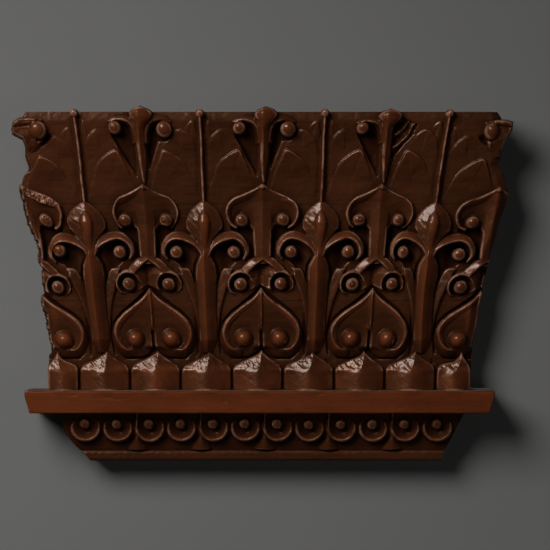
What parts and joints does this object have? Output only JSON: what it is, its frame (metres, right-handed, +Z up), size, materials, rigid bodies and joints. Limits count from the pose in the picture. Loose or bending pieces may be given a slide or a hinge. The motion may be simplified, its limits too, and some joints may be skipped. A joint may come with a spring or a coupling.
{
  "type": "carved wall panel",
  "caption": "Flaring carved hardwood panel like a pilaster capital, with stems, beaded scrolls and leaves over a plain rail, a beaded frieze and a base fillet; hangs on a wall.",
  "frame": {"origin": "centre of the flat back face, 230 mm above the foot", "axes": "+X to the panel's right as seen from the front, +Y out of the back into the wall, +Z up"},
  "size_m": [0.549, 0.0799, 0.388],
  "materials": {
    "carved_wood": "dark red-brown hardwood, waxed and polished by handling",
    "rail_wood": "red-brown hardwood, planed and waxed",
    "back_wood": "bare sawn hardwood, dusty and unpolished",
    "brass": "dull tarnished brass",
    "steel": "dull steel, slightly rusted"
  },
  "bodies": {
    "root": {"arch_scroll_1": "carved_wood", "arch_scroll_2": "carved_wood", "arch_scroll_3": "carved_wood", "arch_scroll_4": "carved_wood", "arch_scroll_5": "carved_wood", "back_batten_left": "back_wood", "back_batten_right": "back_wood", "base_fillet": "carved_wood", "base_leaf_1": "carved_wood", "base_leaf_2": "carved_wood", "base_leaf_3": "carved_wood", "base_leaf_4": "carved_wood", "base_leaf_5": "carved_wood", "base_leaf_6": "carved_wood", "base_leaf_7": "carved_wood", "base_leaf_8": "carved_wood", "base_leaf_9": "carved_wood", "batten_screw_left_1": "steel", "batten_screw_left_2": "steel", "batten_screw_left_3": "steel", "batten_screw_right_1": "steel", "batten_screw_right_2": "steel", "batten_screw_right_3": "steel", "corner_volute_left": "carved_wood", "corner_volute_right": "carved_wood", "crest_1": "carved_wood", "crest_2": "carved_wood", "crest_3": "carved_wood", "fan_scroll_1": "carved_wood", "fan_scroll_2": "carved_wood", "fan_scroll_3": "carved_wood", "fan_scroll_4": "carved_wood", "fan_scroll_5": "carved_wood", "frieze_board": "carved_wood", "frieze_cups_1": "carved_wood", "frieze_cups_2": "carved_wood", "frieze_cups_3": "carved_wood", "frieze_cups_4": "carved_wood", "frieze_cups_5": "carved_wood", "frieze_cups_6": "carved_wood", "frieze_cups_7": "carved_wood", "heart_leaf_1": "carved_wood", "heart_leaf_2": "carved_wood", "heart_leaf_3": "carved_wood", "heart_leaf_4": "carved_wood", "heart_leaf_5": "carved_wood", "keyhole_plate_left": "brass", "keyhole_plate_right": "brass", "lower_board": "carved_wood", "middle_board": "carved_wood", "plate_screw_left_1": "brass", "plate_screw_left_2": "brass", "plate_screw_right_1": "brass", "plate_screw_right_2": "brass", "rail": "rail_wood", "stem_1": "carved_wood", "stem_2": "carved_wood", "stem_3": "carved_wood", "stem_4": "carved_wood", "upper_board": "carved_wood"}
  },
  "joints": []
}
